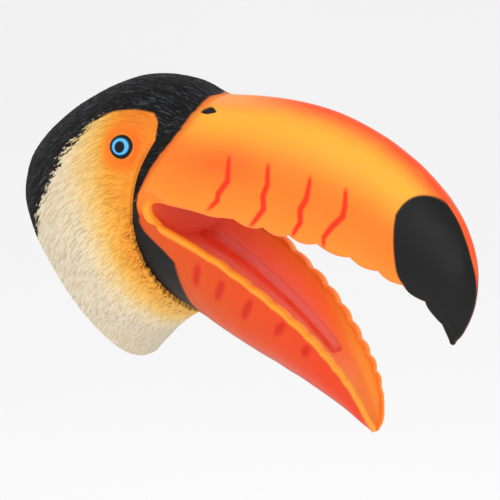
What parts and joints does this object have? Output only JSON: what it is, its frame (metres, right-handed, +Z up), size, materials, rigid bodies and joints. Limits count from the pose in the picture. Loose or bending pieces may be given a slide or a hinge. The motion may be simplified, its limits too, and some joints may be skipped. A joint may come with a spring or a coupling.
{
  "type": "hand puppet",
  "caption": "Soft vinyl toucan-head hand puppet with hollow beak halves, feathered head skin open at the neck, and a lower beak that hinges at the mouth corners.",
  "frame": {"origin": "centre of the neck opening where the hand goes in, on the mid-plane", "axes": "+X towards the beak, +Y to the bird's left, +Z up, with the mouth open at rest"},
  "size_m": [0.2983, 0.0856, 0.1862],
  "materials": {
    "feathered_skin": "satin",
    "black_skin": "satin",
    "upper_beak_skin": "satin",
    "lower_beak_skin": "satin",
    "gape_skin": "satin",
    "mouth_lining": "satin",
    "tongue_skin": "glossy",
    "eye_paint": "glossy"
  },
  "bodies": {
    "head": {"head_skin": "feathered_skin", "beak_collar": "black_skin", "upper_beak": "upper_beak_skin", "palate": "mouth_lining", "eye_right": "eye_paint", "eye_left": "eye_paint", "throat_web": "black_skin", "corner_web_right": "gape_skin", "corner_web_left": "gape_skin", "mouth_back": "mouth_lining"},
    "jaw": {"lower_beak": "lower_beak_skin", "mouth_floor": "mouth_lining", "tongue": "tongue_skin"}
  },
  "joints": [
    {"name": "mouth", "type": "hinge", "parent": "head", "child": "jaw", "pos_m": [0.06305, 0, 0.0498], "axis": [0, 1, 0], "range_deg": [-25, 8], "stiffness_Nm_per_rad": 1.5, "deforming": ["throat_web", "corner_web_right", "corner_web_left", "mouth_back"]}
  ]
}
